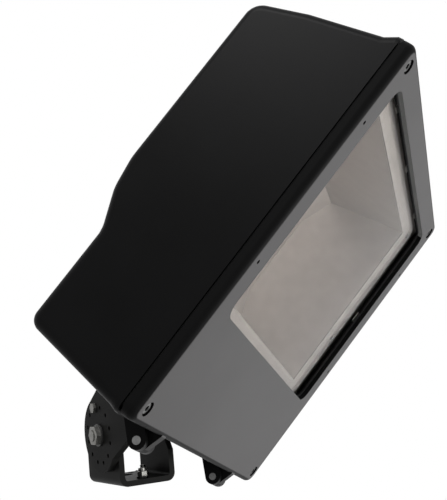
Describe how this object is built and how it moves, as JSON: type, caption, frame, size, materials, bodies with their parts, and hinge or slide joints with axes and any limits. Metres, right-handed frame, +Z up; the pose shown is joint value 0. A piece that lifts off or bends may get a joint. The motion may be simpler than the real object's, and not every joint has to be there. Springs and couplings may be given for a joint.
{
  "type": "flood light",
  "caption": "Outdoor flood light: cast lamp head with a hinged glass door, reflector, lamp and gear, on a swivel arm and a tilting yoke.",
  "frame": {"origin": "centre of the yoke's underside, straight under the tilt pivot", "axes": "+Z up from the mounting surface, +X from the ring cheek to the far ear along the tilt pivot, -Y towards the open front of the yoke"},
  "size_m": [0.5751, 0.5111, 0.4648],
  "materials": {
    "housing_paint": "satin",
    "door_paint": "satin",
    "bracket_paint": "satin",
    "zinc_steel": "satin",
    "stainless": "satin",
    "dark_steel": "satin",
    "bright_aluminium": "satin",
    "gear_steel": "satin",
    "copper_coil": "gloss",
    "brass": "satin",
    "ceramic": "gloss",
    "clear_glass": "gloss",
    "black_rubber": "matte",
    "black_plastic": "matte",
    "white_plastic": "matte"
  },
  "bodies": {
    "yoke": {"yoke": "bracket_paint", "base_bolts": "zinc_steel", "base_washers": "dark_steel", "pivot_bolt": "zinc_steel", "pivot_nut": "zinc_steel", "pivot_spacer": "dark_steel", "pivot_washer": "dark_steel"},
    "arm": {"arm": "bracket_paint", "lock_bolt": "zinc_steel", "swivel_bolt": "zinc_steel", "swivel_washer": "zinc_steel", "swivel_nut": "zinc_steel"},
    "housing": {"housing": "housing_paint", "hinge_pins": "stainless", "cable_gland": "black_plastic", "reflector_trough": "bright_aluminium", "reflector_ends": "bright_aluminium", "reflector_frame": "bright_aluminium", "reflector_screws": "zinc_steel", "lamp_socket": "ceramic", "socket_bracket": "gear_steel", "lamp_base": "brass", "lamp_bulb": "clear_glass", "lamp_arc_tube": "ceramic", "gear_tray": "gear_steel", "gear_screws": "zinc_steel", "ballast_core": "dark_steel", "ballast_coil": "copper_coil", "capacitor": "bright_aluminium", "igniter": "black_plastic", "terminal_block": "white_plastic"},
    "door": {"door_frame": "door_paint", "lens_glass": "clear_glass", "lens_gasket": "black_rubber", "lens_clips": "stainless", "clip_screws": "zinc_steel", "captive_screws": "stainless", "door_gasket": "black_rubber"}
  },
  "joints": [
    {"name": "tilt", "type": "hinge", "parent": "yoke", "child": "arm", "pos_m": [0, 0, 0.0552], "axis": [1, 0, 0], "range_deg": [-30, 15]},
    {"name": "swivel", "type": "hinge", "parent": "arm", "child": "housing", "pos_m": [-0.01326, -0.06026, 0.07916], "axis": [0.5998, -0.3015, 0.7412], "range_deg": [-30, 8]},
    {"name": "door_hinge", "type": "hinge", "parent": "housing", "child": "door", "pos_m": [0.00533, -0.0999, 0.02573], "axis": [0.6569, 0.7145, -0.2408], "range_deg": [0, 110]}
  ]
}
